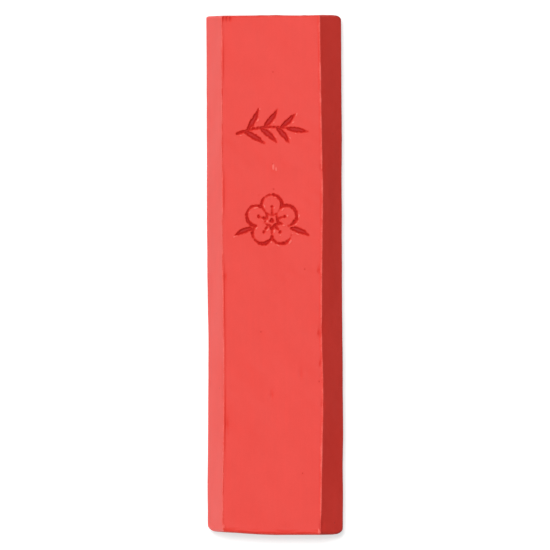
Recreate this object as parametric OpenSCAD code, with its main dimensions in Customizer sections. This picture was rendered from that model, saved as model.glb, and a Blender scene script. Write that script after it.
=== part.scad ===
// Pressed hexagonal ink stick, lying on its back face.
// X runs across the bar, Y along it with the motifs at the +Y end, Z up out of the front face.
// The origin is the middle of the back face.

/* [Bar] */
// Length of the bar, along Y
bar_length = 94; // [70:1:130]
// Width across the two side ridges, along X
bar_width = 24.5; // [22:0.5:34]
// Thickness from the back face to the front face, along Z
bar_thickness = 11; // [8:0.5:16]
// Width of the flat front face, and of the flat back face
face_width = 18; // [16:0.5:20]

/* [Edges] */
// Plan radius of the corner at -X, +Y
corner_top_left = 0.8; // [0.3:0.1:3]
// Plan radius of the corner at +X, +Y
corner_top_right = 1.5; // [0.3:0.1:3]
// Plan radius of the corner at -X, -Y
corner_bottom_left = 1.9; // [0.3:0.1:3]
// Plan radius of the corner at +X, -Y
corner_bottom_right = 1.8; // [0.3:0.1:3]
// Rounding of the long edges of both end faces
end_round = 0.5; // [0.2:0.1:1]

/* [Front panel] */
// Width of the raised lip that the mould leaves along each long edge of the front face
lip_width = 0.5; // [0.3:0.1:1]
// How far the front face is sunk between the two lips
panel_sink = 0.08; // [0.05:0.01:0.3]

/* [Motifs] */
// Depth of the pressed motifs below the sunk face
motif_depth = 0.45; // [0.2:0.05:1]
// Y of the middle of the leafy sprig
sprig_y = 26.7; // [22:0.1:28]
// Y of the middle of the blossom
blossom_y = 9.8; // [2:0.1:10]
// Width of the thin lines in both motifs
line_width = 0.5; // [0.3:0.1:0.8]

/* [Sprig] */
// Length of the bare stem, along its arch
stem_span = 9; // [7:0.1:9]
// Radius of the stem's gentle arch
stem_bend = 17; // [12:1:40]
// Share of the stem that lies on the -X side of the arch's top
stem_left = 0.7; // [0.5:0.05:0.75]
// Pairs of leaves along the stem
leaf_pairs = 3; // [2:1:4]
// Length of the leaves nearest the root
leaf_length = 4.6; // [3:0.1:4.8]
// Widest part of a leaf
leaf_width = 1.05; // [0.8:0.05:1.5]
// Angle between a leaf and the stem
leaf_angle = 48; // [30:1:60]
// How far the two leaves of a pair are set apart along the stem, as a share of the pairs' spacing
leaf_stagger = 0.24; // [0:0.02:0.4]
// How much shorter each pair is than the pair before it, as a share of leaf_length
leaf_taper = 0.08; // [0:0.01:0.15]
// Length of the leaf at the stem's tip, as a share of leaf_length
tip_leaf = 0.9; // [0.6:0.05:1]

/* [Blossom] */
// Petals round the blossom
petals = 5; // [5:1:7]
// Distance from the blossom's middle to a petal's middle
petal_reach = 2.85; // [2.4:0.05:3]
// Radius of a petal
petal_radius = 2.1; // [1.9:0.05:2.3]
// Length of the leaf on each side of the blossom
side_leaf = 3.8; // [2.5:0.1:4]
// How far the side leaves droop
side_leaf_angle = 22; // [10:1:35]
// Radius of the blossom's round heart
heart_radius = 0.45; // [0.3:0.05:0.6]
// Distance from the blossom's middle to the near tip of a stamen
stamen_start = 0.8; // [0.5:0.1:1]
// Length of a stamen
stamen_length = 1.6; // [1.2:0.1:1.8]
// Distance from the blossom's middle to the dot at the far tip of a stamen
anther_reach = 2.5; // [2.2:0.1:2.8]
// Radius of that dot
anther_radius = 0.3; // [0.2:0.05:0.4]

/* [Hidden] */
$fn = 96;
overcut = 1;
half_length = bar_length / 2;
half_width = bar_width / 2;
half_face = face_width / 2;
half_thickness = bar_thickness / 2;
panel_z = bar_thickness - panel_sink;
motif_z = panel_z - motif_depth;

// Square from the origin to [r, r] less the quarter circle that rounds its inner corner.
module corner_waste(r) {
    difference() {
        translate([-overcut, -overcut]) square(r + overcut);
        translate([r, r]) circle(r);
    }
}

// Rectangle of the given size about the origin, with a radius of its own at each corner.
// radii is [left bottom, right bottom, right top, left top].
module rounded_outline(size, radii) {
    difference() {
        square(size, center = true);
        for (i = [0:3]) {
            sx = (i == 0 || i == 3) ? 1 : -1;
            sy = (i < 2) ? 1 : -1;
            translate([-sx * size[0] / 2, -sy * size[1] / 2]) scale([sx, sy]) corner_waste(radii[i]);
        }
    }
}

// Hexagonal cross-section in X and Z, swept along Y.
module hexagon_prism() {
    section = [
        [-half_face, 0],
        [half_face, 0],
        [half_width, half_thickness],
        [half_face, bar_thickness],
        [-half_face, bar_thickness],
        [-half_width, half_thickness],
    ];
    rotate([90, 0, 0]) linear_extrude(bar_length, center = true) polygon(section);
}

// The bar before anything is pressed into it.
module blank() {
    plan = [corner_bottom_left, corner_bottom_right, corner_top_right, corner_top_left];
    side = [end_round, end_round, end_round, end_round];
    intersection() {
        hexagon_prism();
        linear_extrude(bar_thickness) rounded_outline([bar_width, bar_length], plan);
        translate([0, 0, half_thickness]) rotate([90, 0, 90])
            linear_extrude(bar_width + 2 * overcut, center = true)
                rounded_outline([bar_length, bar_thickness], side);
    }
}

// Flat hollow between the two mould lips.
module panel() {
    translate([0, 0, panel_z]) linear_extrude(panel_sink + overcut)
        square([face_width - 2 * lip_width, bar_length + 2 * overcut], center = true);
}

// Leaf with both tips on the X axis: the overlap of two equal circles.
module leaf(long, wide) {
    r = (long * long / 4 + wide * wide / 4) / wide;
    intersection_for (side = [-1, 1]) {
        translate([long / 2, side * (r - wide / 2)]) circle(r);
    }
}

// Point of the stem at angle a from the top of its arch, with X along the stem there.
module along_stem(a) {
    translate([0, -stem_bend]) rotate(-a) translate([0, stem_bend]) children();
}

// Arched stem with pairs of leaves and one leaf at its tip.
module sprig() {
    span_angle = stem_span / stem_bend * 180 / PI;
    root = -span_angle * stem_left;
    tip = root + span_angle;
    intersection() {
        translate([0, -stem_bend]) difference() {
            circle(stem_bend + line_width / 2, $fn = 256);
            circle(stem_bend - line_width / 2, $fn = 256);
        }
        translate([0, -stem_bend]) polygon([
            [0, 0],
            2 * stem_bend * [sin(root), cos(root)],
            2 * stem_bend * [sin(tip), cos(tip)],
        ]);
    }
    for (i = [0:leaf_pairs - 1], side = [-1, 1]) {
        a = root + span_angle * (i + 0.5 + side * leaf_stagger / 2) / leaf_pairs;
        along_stem(a) rotate(side * leaf_angle) leaf(leaf_length * (1 - leaf_taper * i), leaf_width);
    }
    along_stem(tip) leaf(leaf_length * tip_leaf, leaf_width);
}

// Discs of the petals, drawn in by inset.
module petal_discs(inset) {
    for (i = [0:petals - 1]) {
        rotate(90 + i * 360 / petals) translate([petal_reach, 0]) circle(petal_radius - inset);
    }
}

// Blossom drawn in line, with stamens, a round heart and a leaf on each side.
module blossom() {
    half_turn = 180 / petals;
    // Two neighbouring petals cross at the notch, in line with the point halfway between their middles.
    halfway = petal_reach * cos(half_turn);
    apart = petal_reach * sin(half_turn);
    notch = halfway + sqrt(pow(petal_radius, 2) - pow(apart, 2));
    difference() {
        petal_discs(0);
        petal_discs(line_width);
    }
    for (i = [0:petals - 1]) {
        rotate(90 + i * 360 / petals) {
            translate([stamen_start, 0]) leaf(stamen_length, line_width);
            translate([anther_reach, 0]) circle(anther_radius);
        }
    }
    circle(heart_radius);
    for (side = [0, 1]) {
        mirror([side, 0]) rotate(-side_leaf_angle) translate([notch, 0]) leaf(side_leaf, leaf_width);
    }
}

// One pressed solid of pigment and binder.
module bar() {
    color([0.86, 0.26, 0.22]) difference() {
        blank();
        panel();
        translate([0, sprig_y, motif_z]) linear_extrude(motif_depth + overcut) sprig();
        translate([0, blossom_y, motif_z]) linear_extrude(motif_depth + overcut) blossom();
    }
}

bar();
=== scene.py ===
"""The looks of a pressed vermilion ink stick: a hexagonal bar with a leafy sprig and a blossom
pressed into its front face, lying on a pale floor under soft studio light.

The bar's skin is one closed mesh of rings, each a rounded hexagon in X and Z, set along Y.
Every shape is worked out in millimetres and turned into metres when its mesh is made.
Top and bottom mean the +Y and -Y ends, and left and right the -X and +X sides."""

import math

import bpy
import numpy as np
from mathutils import Matrix, Vector


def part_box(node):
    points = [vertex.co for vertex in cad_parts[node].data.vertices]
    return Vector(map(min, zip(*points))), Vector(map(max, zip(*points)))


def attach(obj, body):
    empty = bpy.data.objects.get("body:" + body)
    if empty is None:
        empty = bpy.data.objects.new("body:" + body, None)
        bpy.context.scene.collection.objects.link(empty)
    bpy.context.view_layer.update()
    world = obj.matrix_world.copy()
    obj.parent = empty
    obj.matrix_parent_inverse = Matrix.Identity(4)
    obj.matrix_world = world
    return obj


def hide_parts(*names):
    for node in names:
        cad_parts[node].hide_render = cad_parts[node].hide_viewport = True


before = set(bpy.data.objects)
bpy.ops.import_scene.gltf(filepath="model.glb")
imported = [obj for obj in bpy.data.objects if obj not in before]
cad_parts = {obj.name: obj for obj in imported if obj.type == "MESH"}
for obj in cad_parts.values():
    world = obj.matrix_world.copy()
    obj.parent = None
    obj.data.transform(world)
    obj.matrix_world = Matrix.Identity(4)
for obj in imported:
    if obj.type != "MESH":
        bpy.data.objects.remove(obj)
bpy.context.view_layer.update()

MM = 0.001

# The bar's size comes from the bar in model.glb.
bar_low, bar_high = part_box("bar")
LENGTH = (bar_high.y - bar_low.y) / MM
WIDTH = (bar_high.x - bar_low.x) / MM
THICK = (bar_high.z - bar_low.z) / MM
HALF_LENGTH = LENGTH / 2
HALF_WIDTH = WIDTH / 2
MID_Z = THICK / 2

# Cross-section
HALF_FACE = 9.0  # half the width of the flat front face and of the back face
CREASE_ROUND = 0.16  # radius of the four long edges of the front and back faces
RIDGE_ROUND = 0.45  # radius of the two side ridges
EDGE_STEPS = 4  # facets round each of those edges

# Ends: plan radius of each corner, and rounding of the edges of each end face
CORNER_TOP_LEFT = 0.8
CORNER_TOP_RIGHT = 1.5
CORNER_BOTTOM_LEFT = 1.9
CORNER_BOTTOM_RIGHT = 1.8
CORNER_SOFT = 0.05  # how gently the side ridges run into the corners
TOP_ROUND = 0.4
BOTTOM_ROUND = 0.65

# Slow bows of the long edges, as (middle, reach, size): the middle and reach are shares of half the
# bar's length, and the size is how far the edge moves towards +X.
RIGHT_CREASE_BOWS = [(0.3, 0.24, 0.22), (-0.48, 0.17, 0.24)]
LEFT_CREASE_BOWS = [(-0.36, 0.22, 0.16), (-0.9, 0.15, -0.12)]
RIGHT_RIDGE_BOWS = [(0.6, 0.3, 0.07), (-0.5, 0.35, 0.11)]
LEFT_RIDGE_BOWS = [(-0.3, 0.24, 0.17), (-0.9, 0.25, -0.06)]
RIGHT_CREASE_LEAN = 0.05  # towards +X at the top end and back at the bottom end
RIGHT_CREASE_NARROWING = 0.25  # towards -X at both ends
FACE_FADE = 7.2  # from this far out, the front face bows with its creases
BEVEL_FADE = HALF_FACE + 0.4  # from this far out, a bevel bows with its ridge

# How far each end is from square
END_SHARE = 0.8  # share of half the bar's length at which the ends' slopes start
TOP_SLOPE = 0.09  # drop of the top end's left corner
TOP_SAG = 0.075  # drop of the front face's top edge, right of its middle
TOP_SAG_X = 5.5  # where that drop is deepest
TOP_SAG_REACH = 3.0  # how far along the edge it reaches to each side
TOP_SAG_HEIGHT = 1.0  # how far below the front face it reaches
BOTTOM_SLOPE = 0.56  # rise of the bottom end's left corner
BOTTOM_SLOPE_RUN = (-1.5, 11.0)  # distance towards -X at which the rise starts, and is full
BOTTOM_SLOPE_POWER = 1.2  # above 1, the rise is steeper towards the corner

# Front face
PANEL_SINK = 0.08  # how far the face is sunk between its two lips
CREASE_BLEND = 0.15  # width of the blend from the crease's full height to the lip's own
LIP_WIDTH = 0.5  # raised lip that the mould leaves along each long edge
LIP_SLOPE = 0.25  # width of the slope from the lip down to the face
LIP_TOE = 0.05  # distance from that slope to the line at the lip's foot
LIP_FOOT = 0.015  # depth of that faint line
LIP_FOOT_WIDTH = 0.15
LIP_WAVES = 15.0  # length of the waves in the lips' height, along the bar
LIP_WAVES_ACROSS = 0.3  # how quickly the height changes across the bar, as a share of along it
LIP_HEIGHT = 0.75  # mean height of a lip, as a share of the sink
LIP_HEIGHT_WAVE = 0.5  # how much that share varies
LIP_HEIGHT_LIMITS = (0.1, 1.4)
RIGHT_LIP = 0.4  # height of the right lip, as a share of the left one's

# Wavering seam that the mould leaves across the bottom of the front face
SEAM_PLACE = 0.7  # distance from the bottom end
SEAM_DEPTH = 0.04
SEAM_WIDTH = 0.2
SEAM_WAVER = 0.12
SEAM_WAVES = 7.0
SEAM_MEAN = 0.5  # its mean strength, because it comes and goes as it wavers

# Short scores in the front face's top edge
SCORE_PLACES = (-8.65, -8.1, -7.5)  # X of each one
SCORE_DEPTH = 0.16
SCORE_WIDTH = 0.14
SCORE_RUN = (1.4, 0.4)  # distance from the top end at which a score starts, and is at full depth
# strength of the painted shade in a score
SCORE_SHADE = 0.6

# Motifs, as in the CAD model
MOTIF_DEPTH = 0.45
LINE_WIDTH = 0.5
SPRIG_Y = 26.7
STEM_SPAN = 9.0
STEM_BEND = 17.0
STEM_LEFT = 0.7
LEAF_PAIRS = 3
LEAF_LENGTH = 4.6
LEAF_WIDTH = 1.05
LEAF_ANGLE = math.radians(48)
LEAF_STAGGER = 0.24
LEAF_TAPER = 0.08
TIP_LEAF = 0.9
BLOSSOM_Y = 9.8
PETALS = 5
PETAL_REACH = 2.85
PETAL_RADIUS = 2.1
HEART_RADIUS = 0.45
STAMEN_START = 0.8
STAMEN_LENGTH = 1.6
ANTHER_REACH = 2.5
ANTHER_RADIUS = 0.3
SIDE_LEAF = 3.8
SIDE_LEAF_ANGLE = math.radians(22)

# How the motifs are drawn, which the CAD model keeps plainer
LEAF_BEND = 0.2  # how far the middle of a leaf bends aside
LEAF_SKEW = 0.8  # below 1, a leaf is widest before its middle
LEAF_FULLNESS = 0.8  # below 1, a leaf is fuller towards its tips
LEAF_DISCS = 60  # discs that make up a leaf
STEM_DISCS = 90
STEM_TAPER = (0.6, 0.4)  # half the stem's width at its root and tip, as shares of LINE_WIDTH
BRUSH_WAVE = 0.3  # how much the width of the petals' line varies
BRUSH_WAVES = 4.0  # and over what length

# How the motifs were pressed: walls run in from the edge of a line, steep on its upper left
STEEP_WALL = 0.17
EASY_WALL = 0.46
SKEW = 0.1
RAGGED = 0.04  # unevenness of the lines' edges
RAGGED_WAVES = 0.8
SHADE_OUT = 0.08  # the painted shade starts this far outside the edge of a line
SHADE_IN = 0.22  # and is full this far inside it
LINE_SHADE = 0.4  # share of the painted shade that a line has all over; the rest follows its depth

# Burr: crumbs pushed up beside the lines, most of them on the lower right
BURR = 0.03  # height of a plain crumb
BURR_AWAY = 0.19  # distance from the edge of a line
BURR_WIDTH = 0.16
BURR_WAVES = 1.3
BURR_CONTRAST = 1.5
BURR_GAPS = 0.3  # the higher this is, the more gaps the burr has
BURR_MOST = 1.8  # height of the tallest crumbs, as a share of BURR
BURR_UPPER_LEFT = 0.2  # how much burr a line's upper left has, as a share of its lower right
# paler colour on the burr, as wear and painted highlight both
BURR_WEAR_AND_HIGHLIGHT = 1.3

# Rubbed edges, with painted highlights along the long edges
EDGE_WEAR_AND_HIGHLIGHT = 0.85
EDGE_WEAR_AND_HIGHLIGHT_REACH = 0.25
# the wider band along the right lip is painted highlight as well as wear
RIGHT_LIP_REACH = 0.45  # the wear goes further in along the front face's right edge,
RIGHT_LIP_DROP = 0.01  # which takes in all that is less than this below the face
END_WEAR = 1.05
END_WEAR_REACH = 0.32

# Unevenness of the whole skin, as (size of the waves, height)
SLOW_WAVES = (9.0, 0.016)
QUICK_WAVES = (2.6, 0.006)

# Small dents, as x, y, z, radius and depth; a negative depth is a raised crumb
DENTS = [
    (9.1, 19.6, 11.0, 0.4, 0.12),
    (9.1, -9.4, 11.0, 0.5, 0.13),
    (8.45, 0.7, 10.9, 0.18, 0.17),
    (8.45, -10.6, 10.9, 0.18, 0.18),
    (8.75, -16.1, 10.9, 0.19, 0.18),
    (9.15, -23.5, 11.0, 0.3, 0.13),
    (9.1, 33.0, 11.0, 0.3, 0.11),
    (-8.6, -0.3, 10.9, 0.19, 0.17),
    (-8.3, -27.0, 10.9, 0.18, 0.15),
    (-8.2, -28.6, 10.9, 0.14, 0.09),
    (0.3, 19.5, 10.94, 0.26, -0.05),
    (0.8, 19.1, 10.94, 0.18, -0.04),
    (-0.2, -21.7, 10.94, 0.22, 0.07),
    (5.0, -17.8, 10.94, 0.35, 0.05),
    (-8.9, -45.9, 10.9, 0.2, -0.07),
    (8.3, -46.3, 10.9, 0.22, -0.08),
    (8.9, -45.4, 10.9, 0.4, 0.24),
]
DENT_STRETCH = 2.6  # how much longer than wide a dent is, along the bar
DENT_SHADE = 1.6  # how quickly the painted shade in a dent deepens with its depth in millimetres
# paler colour on raised crumbs, as wear and painted highlight both
CRUMB_WEAR_AND_HIGHLIGHT = 1.5

# Spacing of the mesh
MOTIF_STEP = 0.095  # along and across, where the motifs are
EDGE_STEP = 0.12  # beside the long edges
EDGE_BAND = 1.6  # width of the close part of the front face beside each long edge
PLAIN_STEP = 1.2  # along the bar, elsewhere
FACE_STEP = 0.5  # across the front face, elsewhere
SIDE_STEP = 0.9  # round the bevels
BACK_STEP = 1.8  # across the back face
MOTIF_HALF_WIDTH = 7.1  # half the width of the close part round each motif
MOTIF_ROWS = ((SPRIG_Y - 3.5, SPRIG_Y + 3.9), (BLOSSOM_Y - 4.8, BLOSSOM_Y + 5.3))  # and its span in Y
DENT_ROWS = 2.5  # reach of the close rows on each side of a dent, in radii
BOTTOM_BANDS = ((1.2, 0.08), (2.4, 0.2))  # distance from the bottom end, and the step inside it
TOP_BANDS = ((0.5, 0.06), (2.0, 0.2))

# Caps: the end faces, as rings drawn in from the rim
CAP_RINGS = (0.985, 0.95, 0.88, 0.78, 0.66, 0.52, 0.38, 0.24, 0.1)  # sizes, as shares of the rim
CAP_SMOOTHING = 6  # smoothing passes between one ring and the next
CAP_FADE = 0.9  # size of the ring at which the cap has its full unevenness
CAP_WAVES = 3.0
CAP_WAVE_HEIGHT = 0.03
CAP_SINK = 0.02  # how far the middle is sunk

# Z of a normal, above which its point is on the front face, and below which it is on the back face
FRONT_NORMAL = 0.99
BACK_NORMAL = -0.9

# Seeds of the random fields
SKIN_SEED = 21
LIP_SEED = 3
SEAM_SEED = 4
RAGGED_SEED = 5
BURR_SEED = 6
BRUSH_SEED = 11
CAP_SEED = 31

# Ink
VERMILION = (0.82, 0.046, 0.032, 1)  # dry pigment on the open faces
SHADED_RED = (0.5, 0.009, 0.007, 1)  # painted shade: the colour at the bottom of the pressed lines, and in scores, dents and pits
PALE_WEAR_AND_HIGHLIGHT = (0.96, 0.17, 0.14, 1)  # rubbed and dusty edges, and painted highlights on edges, burrs and crumbs
ROUGHNESS = 0.5
GLOSS = 0.19

# Noises in the ink, as the size of their features along X, Y and Z, and their detail
NOISES = {
    "mottle": ((7, 11, 7), 3.0),
    "streak": ((0.5, 16, 0.5), 2.0),
    "grain": ((0.22, 0.22, 0.22), 3.0),
    "crumple": ((1.6, 2.4, 1.6), 3.0),
}
NOISE_ROUGHNESS = 0.55
NOISE_GAIN = 3.0  # a noise stays near 0.5, and this brings it to between about -1 and 1

# Specks in the ink, as spacing, radius and the share of the places that have one
SPECKS = {"pits": (2.6, 0.17, 0.3), "crumbs": (3.7, 0.16, 0.25)}
SPECK_CORE = 0.4  # share of a speck's radius at which it starts to fade

# How much each field counts in how rubbed the ink is and how much painted highlight it has, in the
# lightness and saturation of its colour, in its roughness and in its relief, which is in millimetres
RUBBING = {"crumple": 0.3, "grain": 0.25, "wear_and_highlight": 1.0}
RUBBED = (0.45, 1.1)  # the rubbing at which the ink starts to look rubbed and painted highlit, and fully does
LIGHTNESS = {"mottle": 0.03, "streak": 0.012, "grain": 0.015, "crumple": 0.02}
SATURATION = {"mottle": -0.008, "grain": -0.006}
ROUGHENING = {"grain": 0.03, "mottle": 0.02, "hollow": 0.1, "rubbed_and_highlit": 0.05}
RELIEF = {"grain": 0.002, "crumple": 0.003, "streak": 0.001, "crumbs": 0.03, "pits": -0.05}

# Colours laid over the ink in turn, as the field that each one follows, its strength and the colour;
# the rubbed one is pale wear with painted highlights, and the pits one is painted shade
COATS = [("rubbed_and_highlit", 0.8, PALE_WEAR_AND_HIGHLIGHT), ("crumbs", 0.5, PALE_WEAR_AND_HIGHLIGHT), ("pits", 0.4, SHADED_RED)]

# Stage, in metres
FLOOR_HALF = 4.0
FLOOR_GAP = 0.00002  # keeps the floor just clear of the bar's back face
FLOOR_GREY = (0.5, 0.5, 0.5, 1)
FLOOR_ROUGHNESS = 0.9
FLOOR_GLOW = 0.66
GLOW_TINT = (0.98, 1, 1, 1)
KEY_SIZE = 0.35
KEY_POWER = 43.5  # watts
KEY_DISTANCE = 2.4
KEY_WAY = Vector((0.015, 0.12, 1)).normalized()
BRIGHT_WAY = (-0.93, 0.37, 0)  # direction of the brighter side of the surround

# The surround's strength, as where its change starts and ends, and its value at the start and the
# end: above the horizon by how far a direction points along BRIGHT_WAY, and below it by its X
ABOVE = (-0.35, 0.35, 0.01, 0.5)
BELOW = (-0.1, -0.7, 0.02, 4.7)
HORIZON = 0.03  # half the height of the blend between the two

CAMERA_TURN = math.radians(4.7)  # towards the bar's right
CAMERA_ROLL = math.radians(-0.2)
CAMERA_DISTANCE = 2.5
VIEW_WIDTH = 0.0996467  # width of the view at the bar
LOOK_AT = Vector((0, 0, 0.0044))


def smoothstep(start, end, value):
    """0 up to start, 1 from end on, and a smooth rise between them. Start may be above end."""
    t = np.clip((value - start) / (end - start), 0, 1)
    return t * t * (3 - 2 * t)


def bell(distance, reach):
    """1 at no distance, about a third at reach, and almost 0 from twice that."""
    return np.exp(-((distance / reach) ** 2))


def ripple(points, wavelength, seed):
    """Smooth random field of about unit size, from plane waves in random directions."""
    waves = 24
    slowest, quickest = 0.6, 1.5  # frequencies of the waves, as shares of 1 / wavelength
    rng = np.random.RandomState(seed)
    points = np.asarray(points, float)
    field = np.zeros(points.shape[:-1])
    for _ in range(waves):
        way = rng.normal(size=points.shape[-1])
        way *= 2 * np.pi / wavelength * rng.uniform(slowest, quickest) / np.linalg.norm(way)
        field += np.sin(points @ way + rng.uniform(0, 2 * np.pi))
    return field * math.sqrt(2 / waves)


def stations(start, stop, plain, zones):
    """Rising positions from start to stop, plain apart, or closer in each (low, high, step) zone."""
    cuts = {start, stop}
    for low, high, _ in zones:
        cuts.update((max(low, start), min(high, stop)))
    cuts = sorted(cuts)
    places = [start]
    slack = 1e-6  # keeps rounding from adding a place
    for a, b in zip(cuts, cuts[1:]):
        middle = (a + b) / 2
        step = min([s for low, high, s in zones if low <= middle <= high], default=plain)
        places.extend(np.linspace(a, b, math.ceil((b - a) / step - slack) + 1)[1:])
    return np.array(places)


# ---- the rounded hexagon ----


def side_zones(side, span):
    """Close zones along one side of the hexagon: beside both corners, and at the motifs in front."""
    if side > 0:
        return [(0, EDGE_STEP, EDGE_STEP), (span - EDGE_STEP, span, EDGE_STEP)]
    return [
        (0, EDGE_BAND, EDGE_STEP),
        (span - EDGE_BAND, span, EDGE_STEP),
        (HALF_FACE - MOTIF_HALF_WIDTH, HALF_FACE + MOTIF_HALF_WIDTH, MOTIF_STEP),
    ]


def ring_outline():
    """Points (x, z) and outward normals of the rounded hexagon, clockwise from the front-left crease.
    Side i runs from corner i to the next one, and side 0 is the front face."""
    slant = math.atan2(MID_Z, HALF_WIDTH - HALF_FACE)
    ridge_x = HALF_WIDTH + RIDGE_ROUND * (1 / math.sin(slant) - 1)
    corners = np.array([
        (-HALF_FACE, THICK),
        (HALF_FACE, THICK),
        (ridge_x, MID_Z),
        (HALF_FACE, 0.0),
        (-HALF_FACE, 0.0),
        (-ridge_x, MID_Z),
    ])
    radii = [CREASE_ROUND, CREASE_ROUND, RIDGE_ROUND, CREASE_ROUND, CREASE_ROUND, RIDGE_ROUND]
    steps = [FACE_STEP, SIDE_STEP, SIDE_STEP, BACK_STEP, SIDE_STEP, SIDE_STEP]
    sides = np.roll(corners, -1, axis=0) - corners
    lengths = np.linalg.norm(sides, axis=1)
    ways = sides / lengths[:, None]
    outwards = np.column_stack([-ways[:, 1], ways[:, 0]])
    turns = [math.acos(float(ways[i - 1] @ ways[i])) for i in range(6)]
    cuts = [radius * math.tan(turn / 2) for radius, turn in zip(radii, turns)]
    points, normals = [], []
    for i in range(6):
        centre = corners[i] - ways[i - 1] * cuts[i] - outwards[i - 1] * radii[i]
        for t in np.linspace(0, 1, EDGE_STEPS + 1):
            out = outwards[i - 1] * math.sin((1 - t) * turns[i]) + outwards[i] * math.sin(t * turns[i])
            out /= np.linalg.norm(out)
            points.append(centre + out * radii[i])
            normals.append(out)
        span = lengths[i] - cuts[i] - cuts[(i + 1) % 6]
        for s in stations(0, span, steps[i], side_zones(i, span))[1:-1]:
            points.append(corners[i] + ways[i] * (cuts[i] + s))
            normals.append(outwards[i])
    return np.array(points), np.array(normals)


def ring_places():
    """Y of each ring, close together at the motifs, the dents, the corners and the end edges."""
    close = [(low, high, MOTIF_STEP) for low, high in MOTIF_ROWS]
    close += [(y - DENT_ROWS * radius, y + DENT_ROWS * radius, radius) for _, y, _, radius, _ in DENTS]
    close += [(-HALF_LENGTH, -HALF_LENGTH + band, step) for band, step in BOTTOM_BANDS]
    close += [(HALF_LENGTH - band, HALF_LENGTH, step) for band, step in TOP_BANDS]
    return stations(-HALF_LENGTH, HALF_LENGTH, PLAIN_STEP, close)


# ---- the motifs ----


def leaf_stroke(x, y, angle, length, width, bend):
    """Brush mark of a leaf: discs (x, y, radius) along a slightly bent line."""
    t = np.linspace(0, 1, LEAF_DISCS)
    along = np.array([math.cos(angle), math.sin(angle)])
    across = np.array([-along[1], along[0]])
    path = np.array([x, y]) + np.outer(t * length, along) + np.outer(bend * 4 * t * (1 - t), across)
    radius = width / 2 * np.sin(np.pi * t**LEAF_SKEW) ** LEAF_FULLNESS
    return np.column_stack([path, radius])


def sprig_strokes():
    """The arched stem, its pairs of leaves and the leaf at its tip."""
    span = STEM_SPAN / STEM_BEND
    root = -STEM_LEFT * span
    tip = root + span

    def on_stem(turn):
        return STEM_BEND * np.sin(turn), SPRIG_Y + STEM_BEND * (np.cos(turn) - 1)

    bow = np.linspace(root, tip, STEM_DISCS)
    thick, thin = [share * LINE_WIDTH for share in STEM_TAPER]
    strokes = [np.column_stack([*on_stem(bow), np.linspace(thick, thin, STEM_DISCS)])]
    for i in range(LEAF_PAIRS):
        for side in (-1, 1):
            turn = root + span * (i + 0.5 + side * LEAF_STAGGER / 2) / LEAF_PAIRS
            length = LEAF_LENGTH * (1 - LEAF_TAPER * i)
            angle = side * LEAF_ANGLE - turn
            strokes.append(leaf_stroke(*on_stem(turn), angle, length, LEAF_WIDTH, -LEAF_BEND * side))
    strokes.append(leaf_stroke(*on_stem(tip), -tip, LEAF_LENGTH * TIP_LEAF, LEAF_WIDTH, 0))
    return strokes


def blossom_strokes():
    """Heart, stamens and side leaves: all of the blossom but the petals' outline."""
    half_turn = math.pi / PETALS
    notch = PETAL_REACH * math.cos(half_turn)
    notch += math.sqrt(PETAL_RADIUS**2 - (PETAL_REACH * math.sin(half_turn)) ** 2)
    strokes = [np.array([[0, 0, HEART_RADIUS]])]
    for i in range(PETALS):
        angle = math.pi / 2 + i * 2 * half_turn
        way = np.array([math.cos(angle), math.sin(angle)])
        strokes.append(leaf_stroke(*(STAMEN_START * way), angle, STAMEN_LENGTH, LINE_WIDTH, 0))
        strokes.append(np.array([[*(ANTHER_REACH * way), ANTHER_RADIUS]]))
    base = notch * np.array([math.cos(SIDE_LEAF_ANGLE), -math.sin(SIDE_LEAF_ANGLE)])
    side_leaf = leaf_stroke(*base, -SIDE_LEAF_ANGLE, SIDE_LEAF, LEAF_WIDTH, LEAF_BEND)
    strokes += [side_leaf, side_leaf * [-1, 1, 1]]
    return [stroke + [0, BLOSSOM_Y, 0] for stroke in strokes]


def motif_distance(x, y):
    """Signed distance from the motifs' edges, negative inside a pressed line."""
    nearest = np.full(x.shape, np.inf)
    for stroke in sprig_strokes() + blossom_strokes():
        away = np.hypot(x[..., None] - stroke[:, 0], y[..., None] - stroke[:, 1]) - stroke[:, 2]
        nearest = np.minimum(nearest, away.min(-1))
    petal = np.full(x.shape, np.inf)
    for i in range(PETALS):
        angle = math.pi / 2 + i * 2 * math.pi / PETALS
        dx = x - PETAL_REACH * math.cos(angle)
        dy = y - BLOSSOM_Y - PETAL_REACH * math.sin(angle)
        petal = np.minimum(petal, np.hypot(dx, dy))
    brush = 1 + BRUSH_WAVE * ripple(np.stack([x, y], -1), BRUSH_WAVES, BRUSH_SEED)
    from_line = np.abs(petal - PETAL_RADIUS + LINE_WIDTH / 2)
    return np.minimum(nearest, from_line - LINE_WIDTH / 2 * brush)


def pressed(x, y):
    """Depth of the motifs at each point, from 0 to 1, the painted shade in and round them, and the burr
    beside them.
    """
    spots = np.stack([x, y], -1)
    ragged = RAGGED * ripple(spots, RAGGED_WAVES, RAGGED_SEED)
    away = motif_distance(x, y) + ragged
    shifted = motif_distance(x + SKEW, y - SKEW) + ragged
    shift = math.hypot(SKEW, SKEW)
    steep = smoothstep(0, STEEP_WALL, -away)
    easy = smoothstep(-shift, EASY_WALL - shift, -shifted)
    depth = np.minimum(steep, easy)
    inside = smoothstep(-SHADE_OUT, SHADE_IN, -away)
    # painted shade: some all over a line, and the rest deepening with its depth
    hollow = LINE_SHADE * inside + (1 - LINE_SHADE) * depth
    patches = BURR_CONTRAST * ripple(spots, BURR_WAVES, BURR_SEED) - BURR_GAPS
    lower_right = smoothstep(0, shift, shifted - away)
    burr = np.clip(patches, 0, BURR_MOST) * bell(away - BURR_AWAY, BURR_WIDTH)
    burr *= BURR_UPPER_LEFT + (1 - BURR_UPPER_LEFT) * lower_right
    return depth, hollow, burr


# ---- the surface ----


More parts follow.
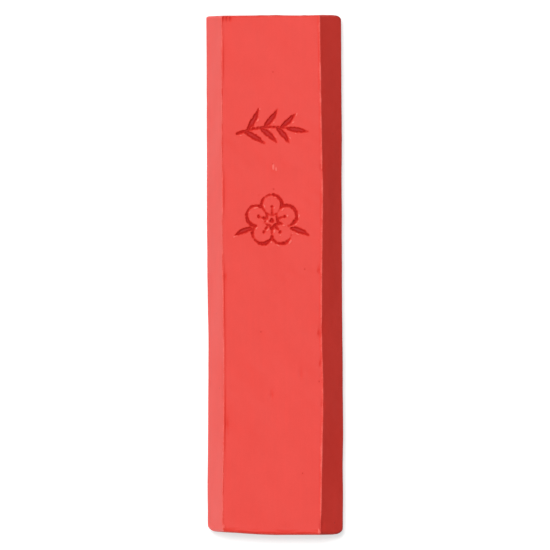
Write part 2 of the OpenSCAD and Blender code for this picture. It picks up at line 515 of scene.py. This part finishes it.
def lip_relief(from_edge, x, y):
    """Height of the two mould lips and of the sunk face between them, from the hexagon's flat."""
    places = np.stack([x * LIP_WAVES_ACROSS, y], -1)
    uneven = LIP_HEIGHT + LIP_HEIGHT_WAVE * ripple(places, LIP_WAVES, LIP_SEED)
    lip = np.where(x < 0, 1, RIGHT_LIP) * np.clip(uneven, *LIP_HEIGHT_LIMITS)
    toe = LIP_WIDTH - LIP_TOE
    sunk = smoothstep(toe - LIP_SLOPE, toe, from_edge)
    crease = 1 - smoothstep(0, CREASE_BLEND, from_edge)
    height = PANEL_SINK * (np.maximum(lip * (1 - sunk), crease) - 1)
    return height - LIP_FOOT * lip * bell(from_edge - LIP_WIDTH, LIP_FOOT_WIDTH)


def seam_relief(x, y):
    """Height of the seam across the bottom of the front face, which is at most 0."""
    waver = ripple(x[..., None], SEAM_WAVES, SEAM_SEED)
    from_seam = HALF_LENGTH + y - SEAM_PLACE - SEAM_WAVER * waver
    return -SEAM_DEPTH * np.clip(SEAM_MEAN - waver, 0, 1) * bell(from_seam, SEAM_WIDTH)


def front_relief(local_x, x, y):
    """Height of the front face above the hexagon's flat, with the painted shade and the wear and
    painted highlight of each point.
    """
    height = lip_relief(HALF_FACE - np.abs(local_x), x, y) + seam_relief(x, y)
    hollow = np.zeros(x.shape)
    for place in SCORE_PLACES:
        score = smoothstep(*SCORE_RUN, HALF_LENGTH - y) * bell(x - place, SCORE_WIDTH)
        height -= SCORE_DEPTH * score
        # painted shade in the score
        hollow = np.maximum(hollow, SCORE_SHADE * score)
    wear_and_highlight = np.zeros(x.shape)
    for low, high in MOTIF_ROWS:
        rows = (y[0] >= low) & (y[0] <= high)
        depth, hollow[:, rows], burr = pressed(x[:, rows], y[:, rows])
        height[:, rows] += BURR * burr - MOTIF_DEPTH * depth
        # the burr is painted paler, as wear and painted highlight
        wear_and_highlight[:, rows] = BURR_WEAR_AND_HIGHLIGHT * burr
    return height, hollow, wear_and_highlight


def edge_wear_and_highlight(outline, places):
    """Wear of the long edges, with painted highlights along them, and of the edges of the end faces,
    fading to 0 a little way from them.
    """
    corner_x = np.array([HALF_FACE, HALF_WIDTH, HALF_FACE])
    corner_z = np.array([THICK, MID_Z, 0.0])
    away = np.hypot(np.abs(outline[:, :1]) - corner_x, outline[:, 1:] - corner_z).min(-1)
    right_lip = (outline[:, 0] > 0) & (outline[:, 1] > THICK - RIGHT_LIP_DROP)
    reach = np.where(right_lip, RIGHT_LIP_REACH, EDGE_WEAR_AND_HIGHLIGHT_REACH)
    long_edges = EDGE_WEAR_AND_HIGHLIGHT * bell(away, reach)
    end_edges = END_WEAR * bell(HALF_LENGTH - np.abs(places), END_WEAR_REACH)
    return np.maximum(long_edges[:, None], end_edges)


def bows(u, table):
    """Sum of the smooth bows in a table, at each share u of half the bar's length."""
    return sum(size * bell(u - middle, reach) for middle, reach, size in table)


def bowed(x, y, z):
    """X of each point once the long edges have bowed a little, as a pressed and dried bar's do."""
    u = y / HALF_LENGTH
    front = smoothstep(FACE_FADE, HALF_FACE, np.abs(x)) * (z > MID_Z)
    ridge = smoothstep(BEVEL_FADE, HALF_WIDTH, np.abs(x))
    crease = front * (1 - ridge)
    right = bows(u, RIGHT_CREASE_BOWS) + RIGHT_CREASE_LEAN * u - RIGHT_CREASE_NARROWING * u**4
    crease_shift = np.where(x > 0, right, bows(u, LEFT_CREASE_BOWS))
    ridge_shift = np.where(x > 0, bows(u, RIGHT_RIDGE_BOWS), bows(u, LEFT_RIDGE_BOWS))
    return x + crease * crease_shift + ridge * ridge_shift


def inset(distance, radius):
    """How far a rounded corner has drawn in its side, at a distance from its end."""
    lack = np.clip(radius - distance, 0, radius)
    return radius - np.sqrt(np.maximum(radius**2 - lack**2, 0))


def with_rounded_ends(x, y, z):
    """X and Z of each point once the corners are rounded in plan, and the end faces' edges too."""
    to_top = HALF_LENGTH - y
    to_bottom = HALF_LENGTH + y
    left = inset(to_top, CORNER_TOP_LEFT) + inset(to_bottom, CORNER_BOTTOM_LEFT)
    right = inset(to_top, CORNER_TOP_RIGHT) + inset(to_bottom, CORNER_BOTTOM_RIGHT)
    clear = 5 * CORNER_SOFT  # keeps the soft limit off the straight part of each side
    limit = HALF_WIDTH + clear - np.where(x < 0, left, right)
    x = np.sign(x) * (limit - CORNER_SOFT * np.logaddexp(0, (limit - np.abs(x)) / CORNER_SOFT))
    end_round = inset(to_top, TOP_ROUND) + inset(to_bottom, BOTTOM_ROUND)
    from_ridge = np.abs(z - MID_Z) / MID_Z
    x = x * (1 - from_ridge * end_round / HALF_WIDTH)
    z = MID_Z + (z - MID_Z) * (1 - end_round / MID_Z)
    return x, z


def out_of_square(x, y, z):
    """Y of each point once neither end is quite square."""
    u = y / HALF_LENGTH
    sag = TOP_SAG * bell(x - TOP_SAG_X, TOP_SAG_REACH) * (z > THICK - TOP_SAG_HEIGHT)
    drop = smoothstep(END_SHARE, 1.0, u) * (TOP_SLOPE * (0.5 - x / WIDTH) + sag)
    rise = BOTTOM_SLOPE * smoothstep(*BOTTOM_SLOPE_RUN, -x) ** BOTTOM_SLOPE_POWER
    return y - drop + smoothstep(END_SHARE, 1.0, -u) * rise


def bar_grid():
    """Grid of the skin's points, ring by ring, with the painted shade and the wear and painted
    highlight of each one.
    """
    outline, normals = ring_outline()
    places = ring_places()
    local_x, y = np.meshgrid(outline[:, 0], places, indexing="ij")
    z = np.meshgrid(outline[:, 1], places, indexing="ij")[0]
    normal_x = np.meshgrid(normals[:, 0], places, indexing="ij")[0]
    normal_z = np.meshgrid(normals[:, 1], places, indexing="ij")[0]
    x = bowed(local_x, y, z)

    hollow = np.zeros(x.shape)
    wear_and_highlight = edge_wear_and_highlight(outline, places)
    points = np.stack([x, y, z], -1)
    height = sum(size * ripple(points, wave, SKIN_SEED) for wave, size in (SLOW_WAVES, QUICK_WAVES))
    front = normals[:, 1] > FRONT_NORMAL
    relief, hollow[front], rims = front_relief(local_x[front], x[front], y[front])
    height[front] += relief
    wear_and_highlight[front] = np.maximum(wear_and_highlight[front], rims)
    for dent_x, dent_y, dent_z, radius, depth in DENTS:
        away = (points - [dent_x, dent_y, dent_z]) / [1, DENT_STRETCH, 1]
        spot = bell(np.linalg.norm(away, axis=-1), radius)
        height -= depth * spot
        # painted shade in a dent, darker as the dent is deeper
        hollow = np.maximum(hollow, DENT_SHADE * depth * spot)
        if depth < 0:
            # a raised crumb is painted paler, as wear and painted highlight
            wear_and_highlight = np.maximum(wear_and_highlight, CRUMB_WEAR_AND_HIGHLIGHT * spot)
    back = normal_z < BACK_NORMAL
    height[back] = -np.abs(height[back])
    x, z = with_rounded_ends(x + normal_x * height, y, np.maximum(z + normal_z * height, 0))
    return np.stack([x, out_of_square(x, y, z), z], -1), hollow, wear_and_highlight


def cap_rings(rim, towards):
    """Rings that close one end, drawn in from its rim to its middle, smoother and slightly uneven."""
    rings = []
    middle = np.array([0.0, rim[:, 1].mean(), MID_Z])
    for size in CAP_RINGS:
        ring = middle + (rim - middle) * size
        relief = CAP_WAVE_HEIGHT * ripple(ring, CAP_WAVES, CAP_SEED) - CAP_SINK
        ring[:, 1] += towards * smoothstep(1.0, CAP_FADE, size) * relief
        rings.append(ring)
        for _ in range(CAP_SMOOTHING):
            rim = (np.roll(rim, 1, axis=0) + 2 * rim + np.roll(rim, -1, axis=0)) / 4
    return rings, middle - [0, towards * CAP_SINK, 0]


def skin_faces(rings, around):
    """Faces between neighbouring rings, and fans from the last two points that close both ends."""
    faces = []
    following = [(i + 1) % around for i in range(around)]
    for j in range(rings - 1):
        here, beyond = j * around, (j + 1) * around
        faces += [(here + i, beyond + i, beyond + k, here + k) for i, k in enumerate(following)]
    last = (rings - 1) * around
    low, high = rings * around, rings * around + 1
    for i, k in enumerate(following):
        faces.append((low, i, k))
        faces.append((high, last + k, last + i))
    return faces


def placed(name, data):
    """New object with the given data, in the scene."""
    thing = bpy.data.objects.new(name, data)
    bpy.context.scene.collection.objects.link(thing)
    return thing


def make_bar():
    """The bar as one closed mesh, with its attributes of painted shade in hollows and of wear with
    painted highlights.
    """
    grid, hollow, wear_and_highlight = bar_grid()
    around = grid.shape[0]
    bottom_rings, bottom_middle = cap_rings(grid[:, 0], -1)
    top_rings, top_middle = cap_rings(grid[:, -1], 1)
    rings = bottom_rings[::-1] + [grid[:, j] for j in range(grid.shape[1])] + top_rings
    points = np.concatenate(rings + [bottom_middle[None], top_middle[None]])
    mesh = bpy.data.meshes.new("ink_bar")
    mesh.from_pydata((points * MM).tolist(), [], skin_faces(len(rings), around))
    mesh.update()
    mesh.polygons.foreach_set("use_smooth", [True] * len(mesh.polygons))

    from_rim = (1 - np.array(CAP_RINGS)) * HALF_WIDTH
    cap_wear = np.repeat(END_WEAR * bell(from_rim, END_WEAR_REACH), around)
    plain = np.zeros(cap_wear.size)
    for name, bottom, sides in (("hollow", plain, hollow), ("wear_and_highlight", cap_wear[::-1], wear_and_highlight)):
        values = np.concatenate([bottom, sides.T.ravel(), bottom[::-1], [0, 0]])
        mesh.attributes.new(name, "FLOAT", "POINT").data.foreach_set("value", values)
    return placed("ink_bar", mesh)


# ---- material ----


class Graph:
    """Short ways to add nodes to a tree. Values may be numbers or the outputs of other nodes."""

    def __init__(self, owner):
        owner.use_nodes = True
        self.nodes = owner.node_tree.nodes
        self.links = owner.node_tree.links

    def add(self, kind, values=None, **settings):
        node = self.nodes.new(kind)
        for name, setting in settings.items():
            setattr(node, name, setting)
        self.fill(node, values or {})
        return node

    def fill(self, node, values):
        """Sets a node's inputs, each given by its name or number."""
        for name, value in values.items():
            if isinstance(value, bpy.types.NodeSocket):
                self.links.new(value, node.inputs[name])
            else:
                node.inputs[name].default_value = value

    def product(self, first, second):
        return self.add("ShaderNodeMath", {0: first, 1: second}, operation="MULTIPLY").outputs[0]

    def scaled(self, value, weight, base):
        """Value times weight plus base."""
        values = {0: value, 1: weight, 2: base}
        return self.add("ShaderNodeMath", values, operation="MULTIPLY_ADD").outputs[0]

    def weighted(self, fields, weights, base=0.0):
        """Base plus each field times its weight, with both given by name."""
        total = base
        for name, weight in weights.items():
            total = self.scaled(fields[name], weight, total)
        return total

    def fade(self, value, start, end, bottom=0.0, top=1.0):
        """Bottom up to start, top from end on, and a smooth change between them."""
        values = {"Value": value, "From Min": start, "From Max": end, "To Min": bottom, "To Max": top}
        return self.add("ShaderNodeMapRange", values, interpolation_type="SMOOTHSTEP").outputs["Result"]

    def blend(self, factor, first, second):
        """Mix of two colours. The node's inputs 6 and 7 are the colours, and its output 2 the mix."""
        colours = {0: factor, 6: first, 7: second}
        return self.add("ShaderNodeMix", colours, data_type="RGBA").outputs[2]

    def spread(self, size):
        """The bar's own coordinates over size, given in millimetres along X, Y and Z."""
        place = self.add("ShaderNodeTexCoord").outputs["Object"]
        scale = [1 / (axis * MM) for axis in size]
        return self.add("ShaderNodeVectorMath", {0: place, 1: scale}, operation="MULTIPLY").outputs[0]

    def noise(self, size, detail):
        """Noise between about -1 and 1, with features of the given size in millimetres."""
        values = {
            "Vector": self.spread(size),
            "Scale": 1.0,
            "Detail": detail,
            "Roughness": NOISE_ROUGHNESS,
        }
        grey = self.add("ShaderNodeTexNoise", values).outputs[0]
        return self.scaled(grey, NOISE_GAIN, -NOISE_GAIN / 2)

    def specks(self, spacing, radius, share):
        """Round spots in a share of the cells of a random pattern; sizes in millimetres."""
        cells = self.add("ShaderNodeTexVoronoi", {"Vector": self.spread([spacing] * 3), "Scale": 1.0})
        edge = radius / spacing
        spot = self.fade(cells.outputs["Distance"], SPECK_CORE * edge, edge, 1.0, 0.0)
        draw = self.add("ShaderNodeSeparateColor", {0: cells.outputs["Color"]}).outputs[0]
        chosen = self.add("ShaderNodeMath", {0: draw, 1: share}, operation="LESS_THAN").outputs[0]
        return self.product(spot, chosen)

    def attribute(self, name):
        return self.add("ShaderNodeAttribute", attribute_name=name).outputs["Fac"]


def ink_material():
    """Dry vermilion pigment: matt, faintly mottled and grainy, with painted shade in the pressed lines,
    scores, dents and pits, and pale wear with painted highlights on edges, burrs and crumbs.
    """
    material = bpy.data.materials.new("pressed_ink")
    graph = Graph(material)
    fields = {name: graph.noise(*noise) for name, noise in NOISES.items()}
    fields |= {name: graph.specks(*speck) for name, speck in SPECKS.items()}
    fields |= {name: graph.attribute(name) for name in ("hollow", "wear_and_highlight")}
    fields["rubbed_and_highlit"] = graph.fade(graph.weighted(fields, RUBBING), *RUBBED)

    # painted shade in the pressed lines, scores and dents
    colour = graph.blend(fields["hollow"], VERMILION, SHADED_RED)
    # pale wear with painted highlights, dusty crumbs, and painted shade in pits
    for name, strength, coat in COATS:
        colour = graph.blend(graph.product(fields[name], strength), colour, coat)
    tint = {
        "Saturation": graph.weighted(fields, SATURATION, 1.0),
        "Value": graph.weighted(fields, LIGHTNESS, 1.0),
        "Color": colour,
    }
    bump = {"Height": graph.weighted(fields, RELIEF), "Distance": MM, "Strength": 1.0}
    graph.fill(graph.nodes["Principled BSDF"], {
        "Base Color": graph.add("ShaderNodeHueSaturation", tint).outputs["Color"],
        "Roughness": graph.weighted(fields, ROUGHENING, ROUGHNESS),
        "Specular IOR Level": GLOSS,
        "Normal": graph.add("ShaderNodeBump", bump).outputs["Normal"],
    })
    return material


# ---- stage ----


def make_floor():
    """Large pale floor that glows for the camera alone, so that it reads as clean white paper."""
    signs = ((-1, -1), (1, -1), (1, 1), (-1, 1))
    corners = [(x * FLOOR_HALF, y * FLOOR_HALF, -FLOOR_GAP) for x, y in signs]
    mesh = bpy.data.meshes.new("floor")
    mesh.from_pydata(corners, [], [(0, 1, 2, 3)])
    material = bpy.data.materials.new("floor_paper")
    graph = Graph(material)
    seen = graph.add("ShaderNodeLightPath").outputs["Is Camera Ray"]
    graph.fill(graph.nodes["Principled BSDF"], {
        "Base Color": FLOOR_GREY,
        "Roughness": FLOOR_ROUGHNESS,
        "Specular IOR Level": 0.0,
        "Emission Color": GLOW_TINT,
        "Emission Strength": graph.product(seen, FLOOR_GLOW),
    })
    mesh.materials.append(material)
    floor = placed("floor", mesh)
    floor.visible_glossy = False
    return floor


def aim(thing, target, roll=0.0):
    """Points a light's or the camera's -Z at target, with its +Y as near the bar's +Y as it goes."""
    back = (thing.location - target).normalized()
    right = Vector((0, 1, 0)).cross(back).normalized()
    up = back.cross(right)
    turn = Matrix((right, up, back)).transposed()
    thing.rotation_euler = (turn @ Matrix.Rotation(roll, 3, "Z")).to_euler()


def make_key():
    """Soft light from almost straight overhead."""
    data = bpy.data.lights.new("key", "AREA")
    data.shape = "SQUARE"
    data.size = KEY_SIZE
    data.energy = KEY_POWER
    key = placed("key", data)
    key.location = KEY_WAY * KEY_DISTANCE
    aim(key, Vector((0, 0, 0)))


def make_surround():
    """World light, bright on the left and dim on the right. Glossy rays pass through the floor, so the
    bar's gloss also picks up the part below the horizon."""
    world = bpy.data.worlds.new("surround")
    bpy.context.scene.world = world
    graph = Graph(world)
    way = graph.add("ShaderNodeTexCoord").outputs["Generated"]
    along = graph.add("ShaderNodeVectorMath", {0: way, 1: BRIGHT_WAY}, operation="DOT_PRODUCT")
    axes = graph.add("ShaderNodeSeparateXYZ", {0: way}).outputs
    above = graph.fade(along.outputs["Value"], *ABOVE)
    below = graph.fade(axes["X"], *BELOW)
    strength = graph.fade(axes["Z"], -HORIZON, HORIZON, below, above)
    graph.fill(graph.nodes["Background"], {"Color": (1, 1, 1, 1), "Strength": strength})


def make_camera():
    """Long lens looking almost straight down at the front face, turned a little to the bar's right."""
    data = bpy.data.cameras.new("camera")
    data.lens = data.sensor_width * CAMERA_DISTANCE / VIEW_WIDTH
    camera = placed("camera", data)
    back = Vector((math.sin(CAMERA_TURN), 0, math.cos(CAMERA_TURN)))
    camera.location = LOOK_AT + CAMERA_DISTANCE * back
    aim(camera, LOOK_AT, CAMERA_ROLL)
    bpy.context.scene.camera = camera


bar = make_bar()
bar.data.materials.append(ink_material())
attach(bar, "root")
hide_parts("bar")
make_floor()
make_key()
make_surround()
make_camera()
bpy.context.scene.view_settings.view_transform = "Standard"
